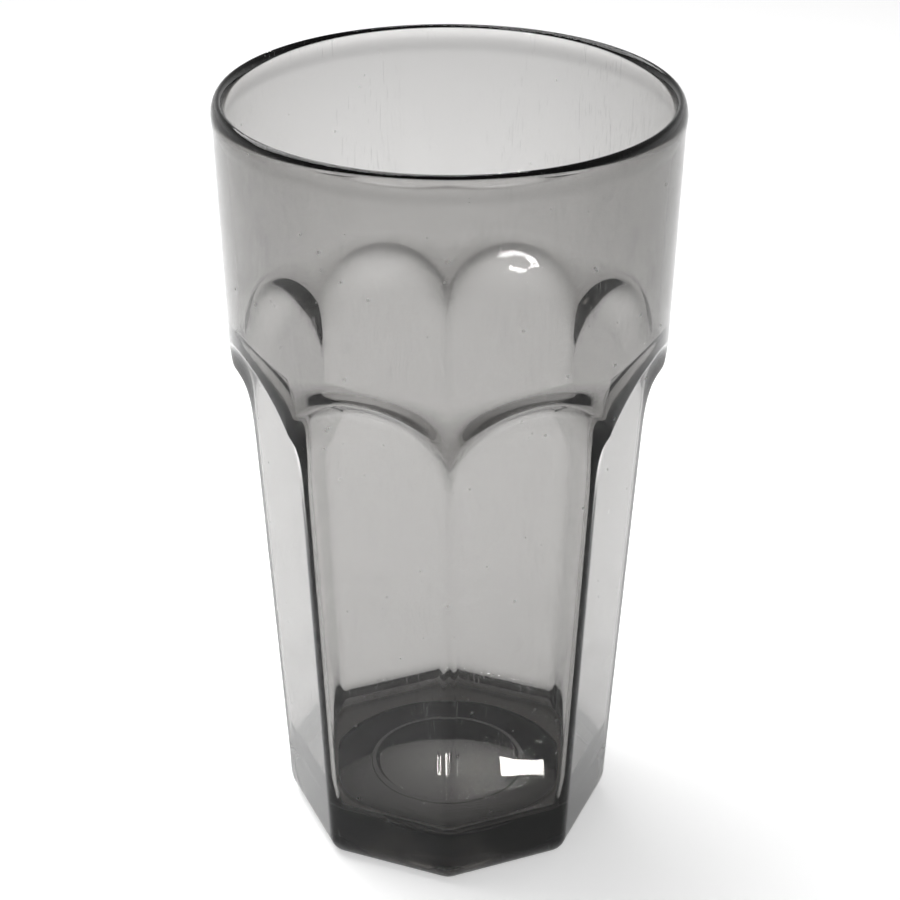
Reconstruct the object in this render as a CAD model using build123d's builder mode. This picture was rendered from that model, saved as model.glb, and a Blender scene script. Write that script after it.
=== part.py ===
from build123d import *
from math import hypot, sqrt
import os

# Tall eight-sided tumbler, one clear moulding. Millimetres.
# Origin at the centre of the plane it stands on, +Z up through the mouth.
# A corner of the octagon points along -Y.

# Driving dimensions
HEIGHT = 156.0
RIM_DIAMETER = 88.0
RIM_WALL = 2.8                 # wall at the mouth
LIP_ROUND = 1.3                # either edge of the lip, which is all but round across
SIDES = 8

SHOULDER_Z = 90.0              # height where the round body's radius is given
SHOULDER_RADIUS = 42.0

PANEL_APOTHEM = 30.85          # axis to a flat panel, at the plane it stands on
PANEL_SLOPE = 0.056            # how much further out a panel is for each mm up
ARCH_SPRING_Z = 85.0           # where the panel's sides end and its arch begins
ARCH_HALF_WIDTH = 14.0
ARCH_RISE = 17.0
ARCH_FILLET = 9.9              # hollow between a panel and the round body
TOOL_REACH = 24.0              # how far the panel tool stands out from its panel
TOOL_DROP = 20.0               # how far it runs on past the foot
HEEL_RADIUS = 3.8              # edge round the foot

FLOOR_Z = 11.0
FLOOR_FILLET = 2.4
PANEL_WALL = 2.2               # wall behind a panel
INNER_CORNER = 4.0             # upright corners of the eight-sided inside
TURN_LOW_Z = 104.0             # the eight-sided inside ends here
TURN_HIGH_Z = 113.0            # and has turned round here
TURN_FLAT = 0.2                # what is left straight of each side there

DOME_RADIUS = 25.0             # shallow dome under the foot
DOME_HEIGHT = 7.5
RING_RADIUS = 15.0             # low plain ring on the dome
RING_ROUND = 0.8               # radius of its rounded section
RING_HEIGHT = 0.5
GATE_RADIUS = 1.6              # mark of the injection gate, in the middle of the dome
GATE_HEIGHT = 0.5

# Worked out from those
half_turn = 180 / SIDES
rim_radius = RIM_DIAMETER / 2
mouth_radius = rim_radius - RIM_WALL
lip_z = HEIGHT - RIM_WALL / 2
wall_slope = (rim_radius - SHOULDER_RADIUS) / (lip_z - SHOULDER_Z)
foot_radius = SHOULDER_RADIUS - wall_slope * SHOULDER_Z
turn_radius = SHOULDER_RADIUS + wall_slope * (TURN_HIGH_Z - SHOULDER_Z) - RIM_WALL
dome_curve = (DOME_RADIUS**2 + DOME_HEIGHT**2) / (2 * DOME_HEIGHT)
ring_z = DOME_HEIGHT - dome_curve + sqrt(dome_curve**2 - RING_RADIUS**2)
tool_half = ARCH_HALF_WIDTH + ARCH_FILLET
tool_rise = ARCH_RISE + ARCH_FILLET
panel_length = hypot(1, PANEL_SLOPE)
panel_plane = Plane(
    origin=(PANEL_APOTHEM, 0, 0),
    x_dir=(0, 1, 0),
    z_dir=(1 / panel_length, 0, -PANEL_SLOPE / panel_length),
)


def inside_apothem(z):
    """Distance from the axis to a flat of the eight-sided inside, at height z."""
    return PANEL_APOTHEM + PANEL_SLOPE * z - PANEL_WALL


def inside_outline(z, apothem, corner):
    """Eight-sided outline with rounded corners, at height z."""
    with BuildSketch(Plane.XY.offset(z)) as outline:
        RegularPolygon(apothem, SIDES, major_radius=False)
        fillet(outline.vertices(), corner)
    return outline.sketch


floor_outline = inside_outline(FLOOR_Z, inside_apothem(FLOOR_Z), INNER_CORNER)
turn_low_outline = inside_outline(TURN_LOW_Z, inside_apothem(TURN_LOW_Z), INNER_CORNER)
turn_high_outline = inside_outline(TURN_HIGH_Z, turn_radius, turn_radius - TURN_FLAT)

# The tool that sinks one panel into the round body. Its inner face is the panel. That
# face's edge is rounded, which leaves the hollow beside and above the panel.
with BuildPart() as panel_tool:
    with BuildSketch(panel_plane) as arch:
        with BuildLine():
            Polyline(
                (-tool_half, ARCH_SPRING_Z),
                (-tool_half, -TOOL_DROP),
                (tool_half, -TOOL_DROP),
                (tool_half, ARCH_SPRING_Z),
            )
            EllipticalCenterArc((0, ARCH_SPRING_Z), tool_half, tool_rise, arc_size=180)
        make_face()
    extrude(amount=TOOL_REACH)
    panel_edges = panel_tool.faces().sort_by(Axis.X)[0].edges().sort_by(Axis.Z)
    fillet(panel_edges[1:], ARCH_FILLET)

# The tumbler, moulded in one piece: a round tapering body with eight panels sunk into
# it, eight-sided inside behind the panels and round above them.
with BuildPart() as tumbler_body:
    with BuildSketch(Plane.XZ) as body_profile:
        with BuildLine():
            Polyline(
                (0, 0),
                (foot_radius, 0),
                (rim_radius, lip_z),
                (rim_radius, HEIGHT),
                (0, HEIGHT),
                close=True,
            )
        make_face()
    revolve(axis=Axis.Z)
    with PolarLocations(0, SIDES, start_angle=half_turn):
        add(panel_tool.part, mode=Mode.SUBTRACT)
    foot = tumbler_body.faces().sort_by(Axis.Z)[0]
    fillet(foot.edges(), HEEL_RADIUS)

    # Inside, from the floor up
    loft(sections=[floor_outline, turn_low_outline], ruled=True, mode=Mode.SUBTRACT)
    floor = tumbler_body.faces().filter_by(Axis.Z).sort_by(Axis.Z)[1]
    fillet(floor.edges(), FLOOR_FILLET)
    loft(sections=[turn_low_outline, turn_high_outline], ruled=True, mode=Mode.SUBTRACT)
    with BuildSketch(Plane.XZ) as mouth_profile:
        with BuildLine():
            Polyline(
                (0, TURN_HIGH_Z),
                (turn_radius, TURN_HIGH_Z),
                (mouth_radius, lip_z),
                (mouth_radius, HEIGHT),
                (0, HEIGHT),
                close=True,
            )
        make_face()
    revolve(axis=Axis.Z, mode=Mode.SUBTRACT)

    # Lip
    lip_face = tumbler_body.faces().filter_by(Axis.Z).sort_by(Axis.Z)[-1]
    fillet(lip_face.edges(), LIP_ROUND)

    # Dome under the foot, with its ring and gate mark
    with BuildSketch(Plane.XZ) as dome_profile:
        with BuildLine():
            RadiusArc((DOME_RADIUS, 0), (0, DOME_HEIGHT), -dome_curve)
            Polyline((0, DOME_HEIGHT), (0, 0), (DOME_RADIUS, 0))
        make_face()
    revolve(axis=Axis.Z, mode=Mode.SUBTRACT)
    with BuildSketch(Plane.XZ) as ring_profile:
        with Locations((RING_RADIUS, ring_z - RING_HEIGHT + RING_ROUND)):
            Circle(RING_ROUND)
    revolve(axis=Axis.Z)
    with BuildSketch(Plane.XY.offset(DOME_HEIGHT - GATE_HEIGHT)) as gate_mark:
        Circle(GATE_RADIUS)
    extrude(amount=2 * GATE_HEIGHT)

tumbler_body.part.label = "tumbler_body"

os.makedirs("parts", exist_ok=True)
export_step(tumbler_body.part, "parts/tumbler_body.step")
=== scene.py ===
from math import cos, pi, radians, sin

import bpy
import numpy as np
from mathutils import Matrix, Vector


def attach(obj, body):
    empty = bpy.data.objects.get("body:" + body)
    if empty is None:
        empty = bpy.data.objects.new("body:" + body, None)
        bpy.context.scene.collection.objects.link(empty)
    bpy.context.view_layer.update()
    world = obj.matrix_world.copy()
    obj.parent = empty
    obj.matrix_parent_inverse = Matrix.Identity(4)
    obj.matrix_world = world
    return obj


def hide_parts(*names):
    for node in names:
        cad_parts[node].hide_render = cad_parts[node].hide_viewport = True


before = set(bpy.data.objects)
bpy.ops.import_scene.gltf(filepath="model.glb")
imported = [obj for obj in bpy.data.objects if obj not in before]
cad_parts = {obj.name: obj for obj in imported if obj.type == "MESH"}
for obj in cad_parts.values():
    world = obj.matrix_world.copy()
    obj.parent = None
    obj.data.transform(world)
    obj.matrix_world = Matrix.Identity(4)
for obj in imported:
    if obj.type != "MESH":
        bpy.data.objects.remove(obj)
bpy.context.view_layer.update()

# Camera: held by hand above the table, a little under half a metre from the tumbler,
# looking down into the mouth so that the inside and the foot both show.
CAMERA_DISTANCE = 0.4026
CAMERA_HEIGHT = 0.2920
CAMERA_TURN = radians(-0.3)
CAMERA_ROLL = radians(0.17)
CAMERA_AIM = Vector((0.0003, 0, 0.0819))
CAMERA_LENS = 91.3
FILM_WIDTH = 36.0

camera_data = bpy.data.cameras.new("camera")
camera_data.sensor_width = FILM_WIDTH
camera_data.lens = CAMERA_LENS
camera_data.clip_start = 0.01
camera = bpy.data.objects.new("camera", camera_data)
camera.location = (
    CAMERA_DISTANCE * sin(CAMERA_TURN),
    -CAMERA_DISTANCE * cos(CAMERA_TURN),
    CAMERA_HEIGHT,
)
aim = (CAMERA_AIM - camera.location).to_track_quat("-Z", "Y").to_matrix()
camera.rotation_euler = (aim @ Matrix.Rotation(CAMERA_ROLL, 3, "Z")).to_euler()
bpy.context.scene.collection.objects.link(camera)
bpy.context.scene.camera = camera


# The table: a matt white laminate top, far wider than the view. Part of its brightness
# is its own, as on a light table, so that the tumbler's shadow on it stays pale.
TABLE_HALF = 30.0
TABLE_WHITE = 0.8
TABLE_GLOW = 0.48
TABLE_ROUGHNESS = 0.9

table_data = bpy.data.meshes.new("table")
table_data.from_pydata(
    [(x * TABLE_HALF, y * TABLE_HALF, 0) for x, y in ((-1, -1), (1, -1), (1, 1), (-1, 1))],
    [],
    [(0, 1, 2, 3)],
)
table = bpy.data.objects.new("table", table_data)
bpy.context.scene.collection.objects.link(table)

white = bpy.data.materials.new("white_table")
white.use_nodes = True
table_shader = white.node_tree.nodes["Principled BSDF"]
table_shader.inputs["Base Color"].default_value = (TABLE_WHITE, TABLE_WHITE, TABLE_WHITE, 1)
table_shader.inputs["Roughness"].default_value = TABLE_ROUGHNESS
table_shader.inputs["Specular IOR Level"].default_value = 0.0
table_shader.inputs["Emission Color"].default_value = (1, 1, 1, 1)
table_shader.inputs["Emission Strength"].default_value = TABLE_GLOW
table_data.materials.append(white)


class Wire:
    """A shader socket that can be added, multiplied and so on, each as a Math node."""

    def __init__(self, tree, socket=None):
        self.tree = tree
        self.socket = socket

    def node(self, kind, settings=None, **inputs):
        """A node of that type, with its settings and then its sockets' values or links.

        A socket goes by its name, or by its number after an underscore.
        """
        made = self.tree.nodes.new(kind)
        for name, value in (settings or {}).items():
            if name == "stops":
                ramp = made.color_ramp
                while len(ramp.elements) < len(value):
                    ramp.elements.new(1.0)
                for stop, (place, grey) in zip(ramp.elements, value):
                    stop.position = place
                    stop.color = (grey, grey, grey, 1)
            else:
                setattr(made, name, value)
        for name, value in inputs.items():
            key = int(name[1:]) if name[0] == "_" else name.replace("_", " ")
            if isinstance(value, Wire):
                self.tree.links.new(value.socket, made.inputs[key])
            else:
                made.inputs[key].default_value = value
        return made

    def out(self, kind, result=0, settings=None, **inputs):
        """The same, as a wire from one of the node's outputs."""
        return Wire(self.tree, self.node(kind, settings, **inputs).outputs[result])

    def maths(self, operation, a, b):
        """A Math node on two wires or numbers."""
        return self.out("ShaderNodeMath", 0, {"operation": operation}, _0=a, _1=b)

    def __add__(self, other):
        return self.maths("ADD", self, other)

    def __sub__(self, other):
        return self.maths("SUBTRACT", self, other)

    def __rsub__(self, other):
        return self.maths("SUBTRACT", other, self)

    def __mul__(self, other):
        return self.maths("MULTIPLY", self, other)

    def __gt__(self, other):
        return self.maths("GREATER_THAN", self, other)

    def __lt__(self, other):
        return self.maths("LESS_THAN", self, other)

    __radd__ = __add__
    __rmul__ = __mul__


# The room: bright walls down to the table and a grey ceiling, which keeps the moulding's
# edges dark. A soft box above the tumbler lights the table. The window behind it and the
# lamp in front of it, to the left, are only there for the glints that they make.
WALLS_TO_CEILING = ((0.0, 0.95), (0.16, 0.9), (0.42, 0.35), (1.0, 0.22))  # height, grey
GLINT_LIMIT = 60
PASSES_THROUGH = 24
REFLECTIONS = 12

room = bpy.data.worlds.new("room")
room.use_nodes = True
bpy.context.scene.world = room
room.node_tree.nodes.clear()
air = Wire(room.node_tree)
direction = air.node("ShaderNodeSeparateXYZ", _0=air.out("ShaderNodeTexCoord", "Generated"))
walls_and_ceiling = air.out(
    "ShaderNodeValToRGB",
    0,
    {"stops": WALLS_TO_CEILING},
    Fac=Wire(room.node_tree, direction.outputs["Z"]),
)
sky = air.out("ShaderNodeBackground", Color=walls_and_ceiling)
air.node("ShaderNodeOutputWorld", Surface=sky)


def area_light(name, place, size, power, lights_table):
    """A rectangle of light that faces the tumbler's middle, in metres and watts."""
    data = bpy.data.lights.new(name, "AREA")
    data.shape = "RECTANGLE"
    data.size, data.size_y = size
    data.energy = power
    lamp = bpy.data.objects.new(name, data)
    lamp.location = place
    lamp.rotation_euler = (CAMERA_AIM - lamp.location).to_track_quat("-Z", "Y").to_euler()
    lamp.visible_diffuse = lights_table
    bpy.context.scene.collection.objects.link(lamp)


area_light(
    "window", place=(0.077, 1.296, 0.938), size=(0.045, 0.016), power=0.5, lights_table=False
)
area_light(
    "lamp", place=(-0.385, -0.365, 0.54), size=(0.06, 0.03), power=0.8, lights_table=False
)
area_light("softbox", place=(-0.16, 0.15, 0.5), size=(0.45, 0.45), power=3.6, lights_table=True)

bpy.context.scene.view_settings.view_transform = "Standard"
bpy.context.scene.cycles.max_bounces = PASSES_THROUGH
bpy.context.scene.cycles.transmission_bounces = PASSES_THROUGH
bpy.context.scene.cycles.glossy_bounces = REFLECTIONS
bpy.context.scene.cycles.sample_clamp_indirect = GLINT_LIMIT

# The tumbler: one injection moulding in clear smoke-grey plastic, with nothing fixed to
# it. A round wall with a tall rounded lip stands on eight arched flat panels, and those
# on a thick foot that is domed underneath. Sizes in millimetres.
MM = 0.001
SIDES = 8
half_side = pi / SIDES

# The mesh is rings of points, from under the foot up the outside, over the lip and down
# the inside. Their columns are close together at the corners of the octagon.
COLUMNS_PER_HALF = 24
CROWDING = 1.5
steps = half_side * (np.arange(COLUMNS_PER_HALF + 1) / COLUMNS_PER_HALF) ** CROWDING
one_side = np.concatenate([steps, 2 * half_side - steps[-2:0:-1]])
turn = np.concatenate([one_side + 2 * half_side * side for side in range(SIDES)])
from_corner = half_side - abs(half_side - turn % (2 * half_side))
from_middle = half_side - from_corner
level = np.ones_like(turn)

# Outside
HEIGHT = 156.0
RIM_RADIUS = 44.0
LIP_HALF = 1.4
LIP_HEIGHT = 3.2
LIP_POWER = 2.0
BEAD = 0.1
BEAD_DROP = 2.5
SHOULDER_Z = 90.0
SHOULDER_RADIUS = 42.0
PANEL_APOTHEM = 30.85
PANEL_SLOPE = 0.056
ARCH_SPRING = 85.0
ARCH_HALF = 14.0
ARCH_RISE = 17.0
ARCH_POWER = 2.15
HOLLOW = 9.9
HOLLOW_START = 0.45
CORNER = 3.0
EDGE_SOFTNESS = 0.5
HEEL_RISE = 4.6
HEEL_DEPTH = 2.8
TINY = 1e-9
NEARLY_ALL = 0.999
HALVINGS = 30
FITTINGS = 4

lip_z = HEIGHT - LIP_HEIGHT
wall_slope = (RIM_RADIUS - BEAD - SHOULDER_RADIUS) / (lip_z - SHOULDER_Z)


def wall(z):
    """Outside radius of the round body."""
    return SHOULDER_RADIUS + wall_slope * (z - SHOULDER_Z)


def bead(z):
    """How far the lip stands out from the wall below it, on either side."""
    near = np.clip(1 - (lip_z - z) / BEAD_DROP, 0, 1)
    return BEAD * near**2 * (3 - 2 * near)


def rounded_octagon(apothem, corner):
    """Radius, all the way round, of an octagon whose corners have that radius."""
    centre = (apothem - corner) / cos(half_side)
    reach = centre * np.sin(from_corner)
    arc = centre * np.cos(from_corner) + np.sqrt(np.clip(corner**2 - reach**2, 0, None))
    on_arc = np.arctan2(corner * sin(half_side), centre + corner * cos(half_side))
    return np.where(from_corner < on_arc, arc, apothem / np.cos(from_middle))


def hollow_depth(across, z):
    """How far the hollow round an arch stands out from its panel."""
    up = np.clip(z - ARCH_SPRING, 0, None) / ARCH_RISE
    side = across / ARCH_HALF
    arch = (side**ARCH_POWER + up**ARCH_POWER) ** (1 / ARCH_POWER) + TINY
    slope = np.hypot(
        (side / arch) ** (ARCH_POWER - 1) / ARCH_HALF,
        (up / arch) ** (ARCH_POWER - 1) / ARCH_RISE,
    )
    out = np.clip((arch - 1) / (slope + TINY), 0, (HOLLOW - HOLLOW_START) * NEARLY_ALL)
    reach = out + HOLLOW_START
    depth = np.sqrt(HOLLOW**2 - HOLLOW_START**2) - np.sqrt(HOLLOW**2 - reach**2)
    return np.where(out > 0, depth, 0)


def panel(z):
    """Outside radius of the eight panels and the hollows round them."""
    apothem = PANEL_APOTHEM + PANEL_SLOPE * z
    out = apothem
    for _ in range(FITTINGS):
        out = apothem + hollow_depth(out * np.tan(from_middle), z)
    return rounded_octagon(out, CORNER)


def outside(z):
    """Outside radius: the panels up to the crest of their hollows, and then the wall."""
    gap = wall(z) - panel(z)
    lower = (wall(z) + panel(z) - np.sqrt(gap**2 + (2 * EDGE_SOFTNESS) ** 2)) / 2
    return lower + bead(z)


def crest_height():
    """Height at which each hollow runs out into the round wall."""
    low = ARCH_SPRING * level
    high = (ARCH_SPRING + ARCH_RISE + HOLLOW) * level
    for _ in range(HALVINGS):
        middle = (low + high) / 2
        in_hollow = panel(middle) < wall(middle)
        low = np.where(in_hollow, middle, low)
        high = np.where(in_hollow, high, middle)
    return low


def between(low, high, count):
    """Heights from low to high, leaving out the first."""
    return [low + (high - low) * k / count for k in range(1, count + 1)]


crest = crest_height()
across = (PANEL_APOTHEM + PANEL_SLOPE * ARCH_SPRING) * np.tan(from_middle) / ARCH_HALF
arch_share = np.clip(1 - across**ARCH_POWER, 0, 1) ** (1 / ARCH_POWER)
arch_line = ARCH_SPRING + ARCH_RISE * arch_share

# Inside
RIM_WALL = 2.6
PANEL_WALL = 2.2
INNER_CORNER = 4.0
TURN_START_CORNER = 98.5
TURN_START = 102.0
TURN_END_CORNER = 111.6
TURN_END = 114.0
TURN_CREASE = 0.4
TURN_LINE_DEPTH = 0.02
TURN_LINE_HALF = 0.3
FLOOR = 11.0
FLOOR_FILLET = 2.4

scallop = np.sin(from_corner * pi / 2 / half_side)
turn_start = TURN_START_CORNER + (TURN_START - TURN_START_CORNER) * scallop
turn_end = TURN_END_CORNER + (TURN_END - TURN_END_CORNER) * scallop


def inside(z):
    """Inside radius: eight-sided behind the panels, turning round above them."""
    rise = np.clip((z - turn_start) / (turn_end - turn_start), 0, 1)
    share = (3 - TURN_CREASE) * rise**2 - (2 - TURN_CREASE) * rise**3
    eight_sided = rounded_octagon(PANEL_APOTHEM + PANEL_SLOPE * z - PANEL_WALL, INNER_CORNER)
    from_line = abs(z - turn_end - TURN_LINE_HALF) / TURN_LINE_HALF
    line = np.clip(1 - from_line, 0, 1) * TURN_LINE_DEPTH
    return eight_sided + (wall(z) - RIM_WALL - eight_sided) * share - bead(z) + line


# Underside: a shallow dome with a low plain ring and the mark of the injection gate.
DOME_RADIUS = 25.0
DOME_HEIGHT = 7.5
RING_RADIUS = 15.0
RING_HALF = 0.8
RING_HEIGHT = 0.45
GATE_RADIUS = 1.6
GATE_DROP = 0.5
GATE_STEPS = 5
RING_STEPS = 6
RING_MARGIN = 0.9
RING_CLEAR = 1.2
DOME_WITHIN_RING = (2.2, 4, 6, 8, 10, 12)
DOME_ROUND_RING = (18, 20, 21.5, 23, 24, 24.7)
FOOT_SHARES = (0.05, 0.35, 0.7, 0.95, 1.0)


def dome(radius):
    """Height of the dome under the foot at that radius."""
    return DOME_HEIGHT * (1 - (radius / DOME_RADIUS) ** 2)


rings = []
for k in range(1, GATE_STEPS + 1):
    bulge = pi / 2 * k / GATE_STEPS
    radius = GATE_RADIUS * sin(bulge)
    rings.append((radius, dome(radius) - GATE_DROP * cos(bulge)))
for radius in (*DOME_WITHIN_RING, RING_RADIUS - RING_CLEAR, RING_RADIUS - RING_MARGIN):
    rings.append((radius, dome(radius)))
for k in range(RING_STEPS + 1):
    bulge = pi * k / RING_STEPS
    radius = RING_RADIUS - RING_HALF * cos(bulge)
    rings.append((radius, dome(radius) - RING_HEIGHT * sin(bulge)))
for radius in (RING_RADIUS + RING_MARGIN, RING_RADIUS + RING_CLEAR, *DOME_ROUND_RING, DOME_RADIUS):
    rings.append((radius, dome(radius)))
rings = [(radius * level, z * level) for radius, z in rings]
foot_outline = rounded_octagon(PANEL_APOTHEM - HEEL_DEPTH, CORNER)
for share in FOOT_SHARES:
    rings.append((DOME_RADIUS * (1 - share) + foot_outline * share, 0 * level))

# Heel, panels, arches, wall and lip, with the rings close together at each crest
HEEL_STEPS = 12
LIP_STEPS = 24
PANEL_MIDDLE = 72.0
CREST_BAND = 1.5
WALL_LOW = 118.0

for k in range(1, HEEL_STEPS + 1):
    bend = pi / 2 * k / HEEL_STEPS
    z = HEEL_RISE * (1 - cos(bend))
    inset = HEEL_DEPTH * (1 - sin(bend))
    rings.append((rounded_octagon(PANEL_APOTHEM + PANEL_SLOPE * z - inset, CORNER), z * level))
heights = between(HEEL_RISE * level, PANEL_MIDDLE * level, count=8)
heights += between(PANEL_MIDDLE * level, arch_line, count=10)
heights += between(arch_line, crest - CREST_BAND, count=20)
heights += between(crest - CREST_BAND, crest + CREST_BAND, count=14)
heights += between(crest + CREST_BAND, WALL_LOW * level, count=5)
heights += between(WALL_LOW * level, (lip_z - BEAD_DROP) * level, count=4)
heights += between((lip_z - BEAD_DROP) * level, lip_z * level, count=8)
rings += [(outside(z), z) for z in heights]
for k in range(1, LIP_STEPS):
    bend = pi * k / LIP_STEPS
    aside = LIP_HALF * abs(cos(bend)) ** (2 / LIP_POWER) * (1 if 2 * k < LIP_STEPS else -1)
    up = LIP_HEIGHT * sin(bend) ** (2 / LIP_POWER)
    rings.append(((RIM_RADIUS - LIP_HALF + aside) * level, (lip_z + up) * level))

# Inside, from the lip down, and the floor
FLOOR_STEPS = 10
FLOOR_SHARES = (0.9, 0.75, 0.55, 0.35, 0.18, 0.05)

heights = [lip_z * level]
heights += between(lip_z * level, (lip_z - BEAD_DROP) * level, count=8)
heights += between((lip_z - BEAD_DROP) * level, turn_end + 2 * TURN_LINE_HALF, count=6)
heights += between(turn_end + 2 * TURN_LINE_HALF, turn_end, count=4)
heights += between(turn_end, turn_start, count=40)
heights += between(turn_start, (FLOOR + FLOOR_FILLET) * level, count=14)
rings += [(inside(z), z) for z in heights]
floor_apothem = PANEL_APOTHEM + PANEL_SLOPE * FLOOR - PANEL_WALL
for k in range(1, FLOOR_STEPS + 1):
    bend = pi / 2 * k / FLOOR_STEPS
    apothem = floor_apothem - FLOOR_FILLET * (1 - cos(bend))
    z = FLOOR + FLOOR_FILLET * (1 - sin(bend))
    rings.append((rounded_octagon(apothem, INNER_CORNER), z * level))
floor_edge = rings[-1][0]
for share in FLOOR_SHARES:
    rings.append((floor_edge * share, FLOOR * level))

# The rings, joined by four-sided faces, with a fan at either end
points = [(0, 0, (DOME_HEIGHT - GATE_DROP) * MM)]
east = np.sin(turn)
north = -np.cos(turn)
for radius, z in rings:
    points += zip(radius * east * MM, radius * north * MM, z * MM)
points.append((0, 0, FLOOR * MM))
around = len(turn)
last = len(points) - 1
last_ring = last - around
faces = []
for k in range(around):
    after = (k + 1) % around
    faces.append((0, 1 + after, 1 + k))
    for low in range(1, last_ring, around):
        high = low + around
        faces.append((low + k, low + after, high + after, high + k))
    faces.append((last, last_ring + k, last_ring + after))
body_data = bpy.data.meshes.new("tumbler_body_moulding")
body_data.from_pydata(points, [], faces)
body_data.polygons.foreach_set("use_smooth", [True] * len(faces))
body_data.update()
body = bpy.data.objects.new("tumbler_body_moulding", body_data)
bpy.context.scene.collection.objects.link(body)

# Smoke-grey plastic: tinted all through, so that it is darker where it is thicker, and
# polished, with the fine marks of use: hairline scratches, specks of dust and a foot
# rubbed matt on tables. The moulding's own surface is very slightly uneven.
SMOKE_TINT = (0.50, 0.492, 0.482, 1)
SMOKE_DENSITY = 485.0
REFLECTED = (0.4, 0.4, 0.4, 1)
REFRACTION = 1.5
RIPPLE = 0.02
RIPPLE_SCALE = 55.0
HAIRS_LEANING_LEFT = (12, 24, 3200)  # degrees, length over width, number to a metre
HAIRS_LEANING_RIGHT = (-38, 18, 2600)
HAIRS_LYING = (70, 20, 3000)
HAIR_TWIST = 0.6
SCRATCH_DEPTH = 0.008
SCRATCH_SHARE = 0.76
PATCH_SCALE = 90.0
PATCH_SHARE = 0.55
SPECK_HEIGHT = 0.03
SPECK_SCALE = 230.0
SPECK_RADIUS = 0.07
SPECK_SHARE = 0.74
FOOT_WEAR_HEIGHT = 0.0006
SCRATCH_ROUGHNESS = 0.12
SPECK_ROUGHNESS = 0.35
FOOT_ROUGHNESS = 0.3
RIPPLE_ROUGHNESS = 0.01
SCRATCH_DULLING = 0.3
FOOT_DULLING = 0.4
CLEAN = (1, 1, 1, 1)
WORN = (0.82, 0.82, 0.82, 1)

smoke = bpy.data.materials.new("smoke_clear")
smoke.use_nodes = True
shader = smoke.node_tree.nodes["Principled BSDF"]
shader.inputs["Transmission Weight"].default_value = 1.0
shader.inputs["IOR"].default_value = REFRACTION
shader.inputs["Specular Tint"].default_value = REFLECTED
plastic = Wire(smoke.node_tree)
place = plastic.out("ShaderNodeTexCoord", "Object")
ripple = plastic.out("ShaderNodeTexNoise", 0, Vector=place, Scale=RIPPLE_SCALE, Detail=1.0)


def scratches(lean, stretch, density):
    """Mask of hairlines that run about upright, leaning by that many degrees."""
    grain = plastic.out(
        "ShaderNodeMapping",
        0,
        Vector=place,
        Rotation=(radians(lean), radians(lean * HAIR_TWIST), 0),
        Scale=(density, density, density / stretch),
    )
    hair = plastic.out("ShaderNodeTexNoise", 0, Vector=grain, Scale=1.0, Detail=0.0)
    patch_scale = PATCH_SCALE + lean
    patch = plastic.out("ShaderNodeTexNoise", 0, Vector=place, Scale=patch_scale, Detail=2.0)
    return (hair > SCRATCH_SHARE) * (patch > PATCH_SHARE)


marks = scratches(*HAIRS_LEANING_LEFT) + scratches(*HAIRS_LEANING_RIGHT)
marks = marks + scratches(*HAIRS_LYING)
cells = plastic.node(
    "ShaderNodeTexVoronoi", {"feature": "F1"}, Vector=place, Scale=SPECK_SCALE, Randomness=1.0
)
from_speck = Wire(smoke.node_tree, cells.outputs["Distance"])
cell_colour = Wire(smoke.node_tree, cells.outputs["Color"])
draw = plastic.out("ShaderNodeSeparateColor", 0, Color=cell_colour)
specks = (from_speck < SPECK_RADIUS) * (draw > SPECK_SHARE)
height = plastic.node("ShaderNodeSeparateXYZ", _0=place)
foot_wear = Wire(smoke.node_tree, height.outputs["Z"]) < FOOT_WEAR_HEIGHT
relief = ripple * RIPPLE + specks * SPECK_HEIGHT - marks * SCRATCH_DEPTH
bump = plastic.out("ShaderNodeBump", 0, Strength=1.0, Distance=MM, Height=relief)
roughness = marks * SCRATCH_ROUGHNESS + specks * SPECK_ROUGHNESS
roughness = roughness + foot_wear * FOOT_ROUGHNESS + ripple * RIPPLE_ROUGHNESS
body_colour = plastic.out(
    "ShaderNodeMix",
    2,
    {"data_type": "RGBA"},
    _0=marks * SCRATCH_DULLING + foot_wear * FOOT_DULLING,
    _6=CLEAN,
    _7=WORN,
)
for name, wire in (("Base Color", body_colour), ("Roughness", roughness), ("Normal", bump)):
    smoke.node_tree.links.new(wire.socket, shader.inputs[name])
absorb = plastic.node("ShaderNodeVolumeAbsorption", Color=SMOKE_TINT, Density=SMOKE_DENSITY)
surface_and_volume = smoke.node_tree.nodes["Material Output"]
smoke.node_tree.links.new(absorb.outputs[0], surface_and_volume.inputs["Volume"])
body_data.materials.append(smoke)

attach(body, "root")
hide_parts("tumbler_body")
